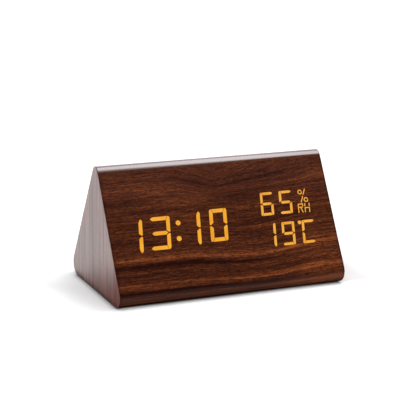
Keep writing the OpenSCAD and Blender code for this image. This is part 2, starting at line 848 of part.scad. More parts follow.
usb_w = 8.94;
usb_h = 3.26;
usb_wall = 0.3;
usb_recess = 0.5;
usb_tongue_w = 6.7;
usb_tongue_t = 0.7;
usb_tongue_recess = 0.9;
usb_base_t = 2;
sensor_size = [15.5, 12, 5.5];
sensor_grid = [5, 4];
sensor_grid_depth = 0.6;
vent_w = 1.2;
vent_l = 11;
vent_spacing = 2.6;
plate_screw_seat = 0.9;

module control_plate() {
    color([0.1, 0.1, 0.1]) on_rear() difference() {
        union() {
            sheet(0, plate_t) plate_cutout(0);
            at_posts() translate([0, 0, -button_board_front])
                cylinder(d = post_d, h = button_board_front - plate_t + fuse, $fn = small);
        }
        for (i = [-1 : 1]) translate([button_u + i * button_spacing, plate_v, -plate_t - over])
            cylinder(r = button_d / 2 + button_gap, h = plate_t + 2 * over, $fn = fine);
        sheet(-over, plate_t + over) translate([usb_u, plate_v])
            stadium(usb_w + 2 * drop_gap, usb_h + 2 * drop_gap);
        sheet(-over, plate_t + over) for (i = [0 : vent_count - 1])
            translate([sensor_u + (i - (vent_count - 1) / 2) * vent_spacing, plate_v]) rotate(90)
                stadium(vent_l, vent_w);
        at_plate_screws() {
            translate([0, 0, -plate_t - over])
                cylinder(r = screw_d / 2 + pin_gap, h = plate_t + 2 * over, $fn = small);
            translate([0, 0, -plate_screw_seat])
                cylinder(r = screw_head_d / 2 + drop_gap, h = plate_screw_seat + over, $fn = small);
        }
        at_posts() translate([0, 0, -button_board_front - over])
            cylinder(r = small_screw_d / 2 + pin_gap, h = over + post_pilot, $fn = small);
    }
}

module control_plate_screws() {
    color("black") on_rear() at_plate_screws() translate([0, 0, -plate_screw_seat])
        screw(screw_d, screw_head_d, screw_head_t,
              plate_t - plate_screw_seat + pilot(skin_t - plate_t) - pilot_spare);
}

// Button cap with a raised mark, a flange that keeps it in the plate, and a stem
module button(i) {
    mark_rise = 0.3;
    flange_z = plate_t + button_flange_gap;
    color([0.16, 0.16, 0.17]) at_button(i) {
        translate([0, 0, -flange_z - fuse])
            cylinder(d = button_d, h = flange_z + button_rise + fuse, $fn = fine);
        translate([0, 0, -flange_z - button_flange_t])
            cylinder(d = button_d + 2 * button_flange_lap, h = button_flange_t, $fn = fine);
        translate([0, 0, -stem_end]) cylinder(d = stem_d, h = stem_l + fuse, $fn = small);
        translate([0, 0, button_rise - fuse]) linear_extrude(mark_rise + fuse) children();
    }
}

// Arrow mark, its height and half width set by the button
module arrow_mark() {
    half = button_d * 0.2;
    polygon([[-half, -half * 0.75], [half, -half * 0.75], [0, half]]);
}

module set_button() {
    button(-1) difference() {
        circle(d = button_d * 0.42, $fn = small);
        circle(d = button_d * 0.24, $fn = small);
    }
}

module down_button() { button(0) rotate(180) arrow_mark(); }

module up_button() { button(1) arrow_mark(); }

module plunger(i) {
    color("gray") at_button(i) translate([0, 0, -stem_end - plunger_l])
        cylinder(d = plunger_d, h = plunger_l, $fn = small);
}

module set_plunger() { plunger(-1); }

module down_plunger() { plunger(0); }

module up_plunger() { plunger(1); }

module switch_housings() {
    bore_gap = 0.1;
    color("dimgray") for (i = [-1 : 1]) at_button(i) difference() {
        translate([0, 0, -button_board_front]) linear_extrude(housing_t) square(housing_w, center = true);
        translate([0, 0, -stem_end - plunger_rise - plunger_bore_l])
            cylinder(r = plunger_d / 2 + bore_gap, h = plunger_bore_l + over, $fn = small);
    }
}

module button_board() {
    color("darkgreen") on_rear() difference() {
        sheet(button_board_front, button_board_back) translate([0, plate_v])
            square([button_board_w, button_board_h], center = true);
        at_posts() translate([0, 0, -button_board_back - over])
            cylinder(r = small_screw_d / 2 + pin_gap, h = board_t + 2 * over, $fn = small);
    }
}

module button_board_screws() {
    color("silver") on_rear() at_posts() translate([0, 0, -button_board_back]) rotate([180, 0, 0])
        screw(small_screw_d, small_screw_head_d, small_screw_head_t, board_t + post_pilot - pilot_spare);
}

module usb_shell() {
    color("silver") on_rear() translate([usb_u, plate_v, 0])
        sheet(usb_recess, button_board_front) difference() {
            stadium(usb_w, usb_h);
            stadium(usb_w - 2 * usb_wall, usb_h - 2 * usb_wall);
        }
}

module usb_tongue() {
    inside = 2 * usb_wall + 2 * pin_gap;
    color("black") on_rear() translate([usb_u, plate_v, 0]) {
        sheet(button_board_front - usb_base_t, button_board_front) stadium(usb_w - inside, usb_h - inside);
        sheet(usb_recess + usb_tongue_recess, button_board_front - usb_base_t + fuse)
            square([usb_tongue_w, usb_tongue_t], center = true);
    }
}

module climate_sensor() {
    pocket_w = 1.8;
    pocket_h = 1.6;
    pocket_spacing_u = 2.6;
    pocket_spacing_v = 2.5;
    color("steelblue") on_rear() translate([sensor_u, plate_v, -button_board_front]) difference() {
        package(sensor_size);
        for (x = [0 : sensor_grid[0] - 1], y = [0 : sensor_grid[1] - 1])
            translate([(x - (sensor_grid[0] - 1) / 2) * pocket_spacing_u,
                       (y - (sensor_grid[1] - 1) / 2) * pocket_spacing_v, sensor_size[2]])
                cube([pocket_w, pocket_h, 2 * sensor_grid_depth], center = true);
    }
}

// Battery tray

tab_w = 2;
tab_l = 2;
tab_gap = 0.15;
tray_screw_seat = 1.5;

function cell_y(i) = (i - (cell_count - 1) / 2) * (cell_d + cell_gap);

// Each cell faces the other way from its neighbour, so its nub is at the +X end or at the -X end
function nub_end(i) = (cell_count - 1 - i) % 2 == 0 ? 1 : -1;

module tray_recess() {
    translate([0, 0, -over]) linear_extrude(tray_flange_t + over)
        rounded_rect(tray_flange_l + 2 * drop_gap, tray_flange_w + 2 * drop_gap, tray_flange_r + drop_gap);
}

module at_tray_screws() {
    for (x = [-1, 1], y = [-1, 1])
        translate([x * (tray_l + tray_lip_l) / 2, y * (tray_w / 2 - screw_head_d), 0]) children();
}

module battery_box() {
    opening_l = door_l + 2 * door_gap;
    opening_w = door_w + 2 * door_gap;
    thumb_w = 12;
    thumb_l = 3;
    thumb_depth = 1.6;
    color([0.12, 0.12, 0.12]) on_base() difference() {
        union() {
            linear_extrude(tray_flange_t) rounded_rect(tray_flange_l, tray_flange_w, tray_flange_r);
            translate([-tray_l / 2, -tray_w / 2, tray_flange_t - fuse])
                cube([tray_l, tray_w, tray_top - tray_flange_t + fuse]);
        }
        translate([-bay_l / 2, -bay_w / 2, tray_flange_t - over]) cube([bay_l, bay_w, bay_h + over]);
        translate([-opening_l / 2, -opening_w / 2, -over])
            cube([opening_l, opening_w, tray_flange_t + over]);
        // Thumb notch beside the door's free end
        translate([opening_l / 2 - over, -thumb_w / 2, -over])
            cube([thumb_l + over, thumb_w, thumb_depth + over]);
        // Sockets for the door's two pins
        for (y = [-1, 1]) translate([hinge_x, y * (opening_w + hinge_pin_l) / 2, hinge_z]) rotate([90, 0, 0])
            cylinder(r = hinge_pin_r + pin_gap, h = hinge_pin_l + 2 * door_gap, center = true, $fn = small);
        // Slots for the contacts' tabs
        for (end = [-1, 1])
            translate([end * (bay_l + tray_wall) / 2, cell_y(end < 0 ? 0 : cell_count - 1), cell_z])
                cube([tray_wall + over, tab_w + 2 * tab_gap, contact_t + 2 * tab_gap], center = true);
        at_tray_screws() translate([0, 0, -over]) {
            cylinder(r = screw_d / 2 + pin_gap, h = tray_flange_t + 2 * over, $fn = small);
            cylinder(r = screw_head_d / 2 + drop_gap, h = tray_screw_seat + over, $fn = small);
        }
    }
}

module battery_box_screws() {
    color("black") on_base() at_tray_screws() translate([0, 0, tray_screw_seat]) rotate([180, 0, 0])
        screw(screw_d, screw_head_d, screw_head_t,
              tray_flange_t - tray_screw_seat + pilot(skin_t - tray_flange_t) - pilot_spare);
}

module battery_door() {
    rib_count = 5;
    rib_spacing = 2.4;
    rib_w = 1.1;
    rib_depth = 0.4;
    rib_l = 16;
    grip_inset = 14;
    pins_l = door_w + 2 * door_gap + 2 * hinge_pin_l;
    color([0.12, 0.12, 0.12]) on_base() difference() {
        union() {
            translate([hinge_x, -door_w / 2, door_inset]) cube([door_l / 2 - hinge_x, door_w, door_t]);
            translate([hinge_x, 0, hinge_z]) rotate([90, 0, 0]) {
                cylinder(d = door_t, h = door_w, center = true, $fn = small);
                cylinder(r = hinge_pin_r, h = pins_l, center = true, $fn = small);
            }
        }
        // Grip grooves near the free end
        for (i = [0 : rib_count - 1]) translate([door_l / 2 - grip_inset + i * rib_spacing, 0, door_inset])
            cube([rib_w, rib_l, 2 * rib_depth], center = true);
    }
}

module battery_cells() {
    body_l = cell_l - nub_h;
    color("goldenrod") on_base() for (i = [0 : cell_count - 1]) let (nub = nub_end(i))
        translate([nub * (bay_l / 2 - contact_t - nub_h), cell_y(i), cell_z]) rotate([0, nub * 90, 0]) {
            translate([0, 0, -body_l]) cylinder(d = cell_d, h = body_l, $fn = fine);
            translate([0, 0, -fuse]) cylinder(d = nub_d, h = nub_h + fuse, $fn = small);
        }
}

// Sprung leaf that presses on the flat end of a cell, standing on its sheet at x = 0
module leaf() {
    leaf_w = 6;
    rise = 3.6;
    flat = 0.7;
    foot = contact_t / 2;
    tip = 1.2;
    crest = spring_reach - contact_t;
    rotate([90, 0, 0]) linear_extrude(leaf_w, center = true) polygon([
        [foot, -rise], [crest, -flat], [crest, flat], [tip, rise],
        [tip + contact_t, rise], [spring_reach, flat], [spring_reach, -flat], [foot + contact_t, -rise]
    ]);
}

// Contacts at one end of the tray: a sheet behind the given cells, with a leaf where a flat end faces it
module contact_sheet(end, first, last, tab) {
    sheet_h = 8.4;
    side_room = 1.6;
    from = cell_y(first) - cell_d / 2 + side_room;
    to = cell_y(last) + cell_d / 2 - side_room;
    translate([end * bay_l / 2, 0, cell_z]) mirror([end > 0 ? 1 : 0, 0, 0]) {
        translate([0, from, -sheet_h / 2]) cube([contact_t, to - from, sheet_h]);
        for (i = [first : last]) if (nub_end(i) != end) translate([0, cell_y(i), 0]) leaf();
        if (tab) translate([-tray_wall - tab_l, cell_y(first) - tab_w / 2, -contact_t / 2])
            cube([tray_wall + tab_l + fuse, tab_w, contact_t]);
    }
}

// The cells are in series: neighbours share a sheet, and the two ends of the row have tabs for the leads
module battery_contacts() {
    color("silver") on_base() {
        contact_sheet(1, cell_count - 1, cell_count - 1, true);
        contact_sheet(-1, 0, 0, true);
        contact_sheet(1, 0, 1, false);
        contact_sheet(-1, 1, 2, false);
    }
}

front_panel();
rear_panel();
base_panel();
left_end_panel();
right_end_panel();
walnut_wrap();
left_end_veneer();
right_end_veneer();
rubber_feet();
display_diffuser();
display_reflector();
led_board();
led_chips();
board_screws();
time_segments();
humidity_segments();
temperature_segments();
microcontroller();
led_drivers();
crystal();
capacitors();
buzzer();
battery_socket();
ribbon_sockets();
ribbon_cable();
positive_lead();
negative_lead();
control_plate();
control_plate_screws();
set_button();
down_button();
up_button();
set_plunger();
down_plunger();
up_plunger();
switch_housings();
button_board();
button_board_screws();
usb_shell();
usb_tongue();
climate_sensor();
battery_box();
battery_box_screws();
battery_door();
battery_cells();
battery_contacts();
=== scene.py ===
"""Looks of a three-sided LED desk clock in walnut veneer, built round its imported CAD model."""
import math

import bmesh
import bpy
import mathutils
import numpy as np
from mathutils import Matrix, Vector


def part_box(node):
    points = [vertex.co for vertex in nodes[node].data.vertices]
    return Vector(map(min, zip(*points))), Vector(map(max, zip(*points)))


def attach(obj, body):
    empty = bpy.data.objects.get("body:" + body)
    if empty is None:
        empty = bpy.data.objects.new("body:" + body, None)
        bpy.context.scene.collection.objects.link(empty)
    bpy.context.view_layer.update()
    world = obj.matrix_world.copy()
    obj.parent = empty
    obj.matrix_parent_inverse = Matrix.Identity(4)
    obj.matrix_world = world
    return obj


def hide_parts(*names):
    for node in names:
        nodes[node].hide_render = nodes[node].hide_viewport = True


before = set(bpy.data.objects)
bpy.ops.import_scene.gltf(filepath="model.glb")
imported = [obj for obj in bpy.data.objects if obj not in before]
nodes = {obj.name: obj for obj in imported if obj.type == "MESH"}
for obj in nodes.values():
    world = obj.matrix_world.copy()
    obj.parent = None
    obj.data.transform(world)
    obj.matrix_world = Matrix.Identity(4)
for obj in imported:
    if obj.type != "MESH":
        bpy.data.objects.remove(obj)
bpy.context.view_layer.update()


# Fibreboard panels
# Three sawn panels of medium-density fibreboard, mitred and glued along the long edges, with a plug of the same
# board in each end. The raw board shows only in the walls of the openings behind and below.
class Field:
    """One output of a finish's nodes. A sum, difference, product, quotient or absolute value adds a Math node."""

    def __init__(self, tree, socket=None):
        self.tree, self.socket = tree, socket

    def node(self, kind, settings=None, sockets=None, out=0):
        """Adds a node of this type: first its settings, then the value or the link of each socket."""
        made = self.tree.nodes.new(kind)
        for name, value in (settings or {}).items():
            if name == "stops":
                for _ in value[2:]:
                    made.color_ramp.elements.new(1.0)
                for element, (place, colour) in zip(made.color_ramp.elements, value):
                    element.position, element.color = place, colour
            else:
                setattr(made, name, value)
        for name, value in (sockets or {}).items():
            if isinstance(value, Field):
                self.tree.links.new(value.socket, made.inputs[name])
            else:
                made.inputs[name].default_value = value
        return Field(self.tree, made.outputs[out])

    def other(self, out):
        """Another output of the same node."""
        return Field(self.tree, self.socket.node.outputs[out])

    def feed(self, shader, socket):
        """Links this field into a socket of a shader."""
        self.tree.links.new(self.socket, shader.inputs[socket])

    def math(self, operation, first, second=0.0):
        """Adds a Math node on fields or numbers."""
        return self.node("ShaderNodeMath", {"operation": operation}, {0: first, 1: second})

    def vector(self, operation, first, second=(0.0, 0.0, 0.0), out=0):
        """Adds a Vector Math node, whose output 0 is a vector and 1 a number."""
        return self.node("ShaderNodeVectorMath", {"operation": operation}, {0: first, 1: second}, out)

    def __add__(self, value):
        return self.math("ADD", self, value)

    def __sub__(self, value):
        return self.math("SUBTRACT", self, value)

    def __rsub__(self, value):
        return self.math("SUBTRACT", value, self)

    def __mul__(self, value):
        return self.math("MULTIPLY", self, value)

    def __truediv__(self, value):
        return self.math("DIVIDE", self, value)

    def __abs__(self):
        return self.math("ABSOLUTE", self)

    __radd__, __rmul__ = __add__, __mul__


def srgb(red, green, blue):
    """The linear colour, with alpha 1, of a screen colour from 0 to 255."""
    screen = np.array([red, green, blue]) / 255
    return (*np.where(screen <= 0.04045, screen / 12.92, ((screen + 0.055) / 1.055) ** 2.4), 1.0)


def new_finish(name, constants):
    """A material with these constants on its shader's own sockets, its shader, and a field to grow nodes from."""
    material = bpy.data.materials.new(name)
    material.use_nodes = True
    shader = material.node_tree.nodes["Principled BSDF"]
    for socket, value in constants.items():
        shader.inputs[socket].default_value = value
    return material, shader, Field(material.node_tree)


def on_piece(start):
    """The piece's own coordinates, in metres."""
    return start.node("ShaderNodeTexCoord", out=3)


def specks(start, size, detail=2.0):
    """Noise from 0 to 1 whose specks are about size metres long: one length, or one for each axis of the piece."""
    stretched = start.node("ShaderNodeMapping", None, {0: on_piece(start), 3: tuple(np.ones(3) / size)})
    return start.node("ShaderNodeTexNoise", None, {"Vector": stretched, "Scale": 1.0, "Detail": detail})


def step(field, low, high):
    """0 below low, 1 above high and a smooth rise between; low above high falls instead."""
    return field.node("ShaderNodeMapRange", {"interpolation_type": "SMOOTHSTEP"},
                      {0: field, 1: low, 2: high, 3: 0.0, 4: 1.0})


def tint(factor, first, second):
    """The colour that goes from first to second as the factor goes from 0 to 1."""
    return factor.node("ShaderNodeMix", {"data_type": "RGBA"}, {0: factor, 6: first, 7: second}, out=2)


def raise_by(height, shader, depth):
    """Bumps the shader's surface by a height field, by depth metres at most."""
    bump = height.node("ShaderNodeBump", None, {"Strength": 1.0, "Distance": depth, "Height": height})
    bump.feed(shader, "Normal")


def dress(material, *names):
    """Gives CAD nodes a finish."""
    for name in names:
        for slot in nodes[name].material_slots:
            slot.material = material


fibreboard, shader, start = new_finish("fibreboard", {"Roughness": 0.9})
flock = specks(start, (0.0011, 0.0011, 0.0005), 5.0)
chips = step(specks(start, (0.0026, 0.0026, 0.0006), 1.0), 0.56, 0.66)
board = tint(flock, srgb(126, 92, 62), srgb(178, 142, 104))
tint(chips * 0.5, board, srgb(98, 68, 45)).feed(shader, "Base Color")
raise_by(flock, shader, depth=0.0001)
dress(fibreboard, "front_panel", "rear_panel", "base_panel", "left_end_panel", "right_end_panel")


# Lit segments and their light box
# Amber windows stand flush in the veneer. Behind them are a frosted sheet, a white moulded reflector with one
# chamber for each segment, and an LED in each chamber; only the windows show.
def along_body(start):
    """Metres to the right of the body's middle; the same node's output 1 is y."""
    return start.node("ShaderNodeSeparateXYZ", None, {0: on_piece(start)})


TIME_END, SMALL_START = 0.014, 0.018
amber_light, shader, start = new_finish("amber_light", {
    "Base Color": srgb(60, 26, 4), "Roughness": 0.45, "Specular IOR Level": 0.2, "Emission Strength": 1.0})
clouds = step(specks(start, 0.006, 1.0), 0.25, 0.75)
small = step(along_body(start), TIME_END, SMALL_START)
time_amber = tint(clouds, srgb(230, 154, 22), srgb(242, 170, 40))
small_amber = tint(clouds, srgb(230, 158, 46), srgb(242, 174, 62))
tint(small, time_amber, small_amber).feed(shader, "Emission Color")
dress(amber_light, "time_segments", "humidity_segments", "temperature_segments")


def moulded(name, dark, light, roughness, grit, depth):
    """Moulded plastic: two close tones in soft clouds and a fine even grit of the mould's texture, which also raises
    the surface by depth and spreads the roughness evenly about its mean."""
    cloud_size, spread = 0.009, 0.16
    material, shader, start = new_finish(name, {"Specular IOR Level": 0.25})
    cloud, grain = specks(start, cloud_size, 3.0), specks(start, grit, 1.0)
    tint(cloud * 0.6 + grain * 0.4, dark, light).feed(shader, "Base Color")
    (grain * spread + (roughness - spread / 2)).feed(shader, "Roughness")
    raise_by(grain, shader, depth)
    return material


dress(moulded("reflector_white", srgb(226, 226, 222), srgb(242, 242, 239), 0.45, 0.0006, 0.00001),
      "display_reflector")
dress(moulded("frosted_sheet", srgb(206, 208, 206), srgb(226, 227, 224), 0.7, 0.0003, 0.00001), "display_diffuser")
dress(moulded("led_package", srgb(226, 216, 170), srgb(240, 222, 120), 0.4, 0.0005, 0.00001), "led_chips")


# Circuit boards and what is soldered to them
# Green glass-fibre boards with copper tracks under the lacquer, black epoxy chips, a steel crystal can, sleeved
# capacitors, ivory sockets, a grey ribbon and two plastic-covered leads. The closed body hides all but the power inlet
# and what the vents let through.
TRACKS_IN_METRE, WIRE_PITCH = 240.0, 0.001
board_green, shader, start = new_finish("board_green", {"Roughness": 0.35})
tracks = start.node("ShaderNodeTexVoronoi", {"feature": "DISTANCE_TO_EDGE", "distance": "MANHATTAN"},
                    {"Vector": on_piece(start), "Scale": TRACKS_IN_METRE})
green = tint(specks(start, 0.002), srgb(14, 74, 40), srgb(24, 96, 54))
tint(step(tracks, 0.09, 0.05), green, srgb(58, 128, 74)).feed(shader, "Base Color")
dress(board_green, "led_board", "button_board")

dress(moulded("chip_black", srgb(22, 22, 23), srgb(34, 34, 35), 0.55, 0.0002, 0.00001),
      "microcontroller", "led_drivers", "buzzer", "usb_tongue")
dress(moulded("capacitor_sleeve", srgb(22, 30, 66), srgb(30, 42, 88), 0.35, 0.0008, 0.000005), "capacitors")
dress(moulded("socket_ivory", srgb(214, 206, 182), srgb(230, 224, 204), 0.5, 0.0005, 0.00001),
      "battery_socket", "ribbon_sockets")
dress(moulded("lead_red", srgb(142, 22, 18), srgb(172, 34, 26), 0.45, 0.0008, 0.000005), "positive_lead")
dress(moulded("lead_black", srgb(20, 20, 21), srgb(32, 32, 33), 0.45, 0.0008, 0.000005), "negative_lead")
dress(moulded("switch_grey", srgb(86, 88, 92), srgb(104, 106, 110), 0.5, 0.0004, 0.00001),
      "switch_housings", "set_plunger", "down_plunger", "up_plunger")
dress(moulded("sensor_blue", srgb(44, 108, 160), srgb(60, 130, 182), 0.5, 0.0004, 0.00001), "climate_sensor")

ribbon_grey, shader, start = new_finish("ribbon_grey", {"Roughness": 0.5})
# Painted shade and highlight: each groove between the wires is a darker grey, and each wire's crown a paler one
from_groove = start.math("PINGPONG", along_body(start) * (1 / WIRE_PITCH), 0.5)
tint(from_groove * 2, srgb(120, 122, 124), srgb(188, 190, 192)).feed(shader, "Base Color")
dress(ribbon_grey, "ribbon_cable")


def plated(name, dark, light, roughness):
    """Plated or drawn metal: two close tones in fine scratches, which also spread the roughness about its mean."""
    scratch_size, spread = (0.004, 0.0003, 0.0003), 0.2
    material, shader, start = new_finish(name, {"Metallic": 1.0})
    scratches = specks(start, scratch_size, 3.0)
    tint(scratches, dark, light).feed(shader, "Base Color")
    (scratches * spread + (roughness - spread / 2)).feed(shader, "Roughness")
    return material


dress(plated("can_steel", srgb(176, 176, 174), srgb(206, 206, 204), 0.32), "crystal", "usb_shell")
dress(plated("bright_screw", srgb(168, 168, 164), srgb(208, 207, 202), 0.28), "board_screws", "button_board_screws")
dress(plated("contact_nickel", srgb(186, 182, 172), srgb(214, 210, 200), 0.25), "battery_contacts")
dress(plated("black_screw", srgb(26, 26, 28), srgb(44, 44, 47), 0.42), "control_plate_screws", "battery_box_screws")


# Rear plate and its buttons
# A black textured plate screwed into a recess of the rear panel, with vents for the sensor and a power inlet.
# Each button is one moulding: a dished cap with a raised mark, a flange that keeps it in, and a stem.
plate_black = moulded("plate_black", srgb(24, 24, 25), srgb(34, 34, 36), 0.62, 0.00035, 0.00003)
dress(plate_black, "control_plate")

# The section is a triangle with rounded corners; its base and height are those of the sharp triangle
FOOT_HEIGHT, BODY_DEPTH, EDGE_ROUND = 0.0004, 0.0845, 0.0075
SLOPE = math.radians(60)
BASE_WIDTH = BODY_DEPTH + 2 * EDGE_ROUND * (1 / math.tan(SLOPE / 2) - 1)
APEX_HEIGHT = BASE_WIDTH / 2 * math.tan(SLOPE)


def on_rear_face(along, up, out):
    """Points of the rear face from the distance along it, up its slope from the middle, and out of the veneer."""
    return np.stack(np.broadcast_arrays(
        -along,
        BASE_WIDTH / 4 - up * math.cos(SLOPE) + out * math.sin(SLOPE),
        FOOT_HEIGHT + APEX_HEIGHT / 2 + up * math.sin(SLOPE) + out * math.cos(SLOPE)), axis=-1)


def surface(name, patches, material, grain=None, sharp=40):
    """One mesh from grids of points: each cell of a grid is a quad, and points that meet are merged, which closes
    seams and poles. The grain, one pair for each point, becomes a UV map. Edges over sharp degrees stay sharp."""
    merge_gap = 1e-6
    corners, offset = [], 0
    for patch in patches:
        rows, columns = patch.shape[:2]
        index = offset + np.arange(rows * columns).reshape(rows, columns)
        corners.append(np.stack([index[:-1, :-1], index[:-1, 1:], index[1:, 1:], index[1:, :-1]], axis=-1))
        offset += rows * columns
    faces = np.concatenate([c.reshape(-1, 4) for c in corners])
    mesh = bpy.data.meshes.new(name)
    mesh.from_pydata(np.concatenate([p.reshape(-1, 3) for p in patches]), [], faces)
    if grain is not None:
        pairs = np.concatenate([g.reshape(-1, 2) for g in grain])[faces.ravel()]
        mesh.uv_layers.new(name="grain").data.foreach_set("uv", pairs.ravel())
    worked = bmesh.new()
    worked.from_mesh(mesh)
    bmesh.ops.remove_doubles(worked, verts=worked.verts, dist=merge_gap)
    bmesh.ops.dissolve_degenerate(worked, edges=worked.edges, dist=merge_gap / 10)
    bmesh.ops.recalc_face_normals(worked, faces=worked.faces)
    worked.to_mesh(mesh)
    worked.free()
    mesh.polygons.foreach_set("use_smooth", np.ones(len(mesh.polygons), bool))
    mesh.set_sharp_from_angle(angle=math.radians(sharp))
    mesh.materials.append(material)
    piece = bpy.data.objects.new(name, mesh)
    bpy.context.scene.collection.objects.link(piece)
    return piece


def turned(radius, height, count=64):
    """Rings of a turned shape: the profile's radius at each height, carried once round its axis."""
    angle = np.linspace(0, 2 * np.pi, count + 1)
    return np.outer(radius, np.cos(angle)), np.outer(radius, np.sin(angle)), np.outer(height, np.ones_like(angle))


def corner(start, end, count=7):
    """Points of a quarter round from one point to another: it leaves along the second axis and ends along the first,
    by one minus the cosine and by the sine of the turn."""
    turn = np.linspace(0, np.pi / 2, count)
    return start[0] + (end[0] - start[0]) * (1 - np.cos(turn)), start[1] + (end[1] - start[1]) * np.sin(turn)


button_black = moulded("button_black", srgb(40, 40, 42), srgb(52, 52, 55), 0.5, 0.0003, 0.00001)
PLATE_UP = -0.008
CAP_RADIUS, CAP_TOP, CAP_ROUND, DISH, DISH_RINGS = 0.004, 0.0012, 0.0005, 0.00015, 12
FLANGE_TOP, FLANGE_UNDER, FLANGE_RADIUS = -0.0021, -0.0031, 0.0052
STEM_RADIUS, STEM_END = 0.002, -0.005
round_r, round_h = corner((CAP_RADIUS, CAP_TOP - CAP_ROUND), (CAP_RADIUS - CAP_ROUND, CAP_TOP))
dish_r = np.linspace(CAP_RADIUS - CAP_ROUND, 0, DISH_RINGS)
dish_h = CAP_TOP - DISH * (1 - (dish_r / dish_r[0]) ** 2) ** 2
# The profile from the middle of the stem's end, out round the flange and up the cap to the middle of its dish
under_r = [0, STEM_RADIUS, STEM_RADIUS, FLANGE_RADIUS, FLANGE_RADIUS, CAP_RADIUS]
under_h = [STEM_END, STEM_END, FLANGE_UNDER, FLANGE_UNDER, FLANGE_TOP, FLANGE_TOP]
cap_r = np.concatenate([under_r, round_r, dish_r[1:]])
cap_h = np.concatenate([under_h, round_h, dish_h[1:]])

MARK_TOP, MARK_SUNK, MARK_EDGE = 0.0015, 0.001, 0.0001
RING_INNER, RING_OUTER, RING_BEVEL = 0.00096, 0.00168, 0.00012
ARROW_HALF, ARROW_FOOT, ARROW_POINTS = 0.0016, -0.0012, 25
KEY_PLACES = {"set": -0.017, "down": -0.002, "up": 0.013}
ring_r = [RING_INNER, RING_INNER, RING_INNER + RING_BEVEL, RING_OUTER - RING_BEVEL, RING_OUTER, RING_OUTER, RING_INNER]
ring_h = [MARK_SUNK, MARK_TOP - MARK_EDGE, MARK_TOP, MARK_TOP, MARK_TOP - MARK_EDGE, MARK_SUNK, MARK_SUNK]


def arrow(pointing):
    """Rings of a raised arrow: a triangle with evenly spaced points on its sides, drawn in a little at its top edge
    and then to its middle."""
    left, right, tip = [-ARROW_HALF, ARROW_FOOT], [ARROW_HALF, ARROW_FOOT], [0, ARROW_HALF]
    triangle = np.array([left, right, tip, left]) * pointing
    outline = np.stack([np.interp(np.linspace(0, 3, ARROW_POINTS), range(4), triangle[:, k]) for k in (0, 1)])
    scale = [0, 1, 1, 0.9, 0.3, 0]
    height = [MARK_SUNK, MARK_SUNK, MARK_TOP - MARK_EDGE, MARK_TOP, MARK_TOP, MARK_TOP]
    return np.outer(scale, outline[0]), np.outer(scale, outline[1]), np.outer(height, np.ones(ARROW_POINTS))


marks = {"set": turned(ring_r, ring_h), "down": arrow(-1), "up": arrow(1)}
for key, along in KEY_PLACES.items():
    parts = (turned(cap_r, cap_h), marks[key])
    button = surface(key + "_button_moulding", [on_rear_face(along + u, PLATE_UP + v, w) for u, v, w in parts],
                     button_black)
    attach(button, key + "_key")
    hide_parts(key + "_button")


# Battery tray
# A black box screwed into the base, with a hinged door over three cells in printed sleeves, sprung nickel contacts
# at both ends, and a thumb notch beside the door's free end.
dress(moulded("tray_black", srgb(26, 26, 27), srgb(36, 36, 38), 0.6, 0.00035, 0.00002), "battery_box", "battery_door")

BAND_START, CAP_START, PRINT_FADE = 0.0135, 0.0212, 0.0004
cell_wrap, shader, start = new_finish("cell_wrap", {"Roughness": 0.32})
from_middle = abs(along_body(start))
band = step(from_middle, BAND_START, BAND_START + PRINT_FADE)
ends = step(from_middle, CAP_START, CAP_START + PRINT_FADE)
foil = tint(specks(start, 0.004), srgb(196, 140, 52), srgb(212, 158, 72))
tint(ends, tint(band, foil, srgb(30, 30, 32)), srgb(200, 200, 198)).feed(shader, "Base Color")
(ends * 0.9).feed(shader, "Metallic")
dress(cell_wrap, "battery_cells")


# Walnut veneer round the body
# A thin sheet of walnut, drawn round the three long faces and their rounded edges and lacquered, with the grain along
# the body. It is cut out round the rear plate and the battery tray.
VENEER, RIDGE_ROUND = 0.0004, 0.005
SHEET_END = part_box("walnut_wrap")[1].x
edge_y = BASE_WIDTH / 2 - EDGE_ROUND / math.tan(SLOPE / 2)
ridge_z = FOOT_HEIGHT + APEX_HEIGHT - RIDGE_ROUND / math.cos(SLOPE)
edge_z = FOOT_HEIGHT + EDGE_ROUND
slope_run = math.hypot(edge_y, ridge_z - edge_z)
flat_run = math.sqrt(slope_run ** 2 - (EDGE_ROUND - RIDGE_ROUND) ** 2)
edge_arc, ridge_arc = EDGE_ROUND * 2 * np.pi / 3, RIDGE_ROUND * 2 * np.pi / 3
# Where round and flat stretches meet: front edge, front, ridge, rear, rear edge, base
stations = np.cumsum([0, edge_arc, flat_run, ridge_arc, flat_run, edge_arc, 2 * edge_y])
FRONT_MIDDLE = edge_arc - EDGE_ROUND / math.tan(SLOPE / 2) + BASE_WIDTH / 2


def section(run, inset=0.0):
    """Point of the body's section at a distance round it from the front of the base. On a round stretch the outward
    normal turns about the corner's centre; on a flat one that centre and the radius run evenly to the next corner."""
    centre_y = np.interp(run, stations, edge_y * np.array([-1, -1, 0, 0, 1, 1, -1]))
    centre_z = np.interp(run, stations, np.array([edge_z, edge_z, ridge_z, ridge_z, edge_z, edge_z, edge_z]))
    radius = np.interp(run, stations, [EDGE_ROUND] * 2 + [RIDGE_ROUND] * 2 + [EDGE_ROUND] * 3) - inset
    normal = np.radians(np.interp(run, stations, [-90, -210, -210, -330, -330, -450, -450]))
    return centre_y + radius * np.cos(normal), centre_z + radius * np.sin(normal)


def veneer_at(x, run, inset):
    """Points of the sheet at a place along the body and a distance round its section, sunk by the inset."""
    y, z = section(run, inset)
    return np.stack(np.broadcast_arrays(x, y, z), axis=-1)


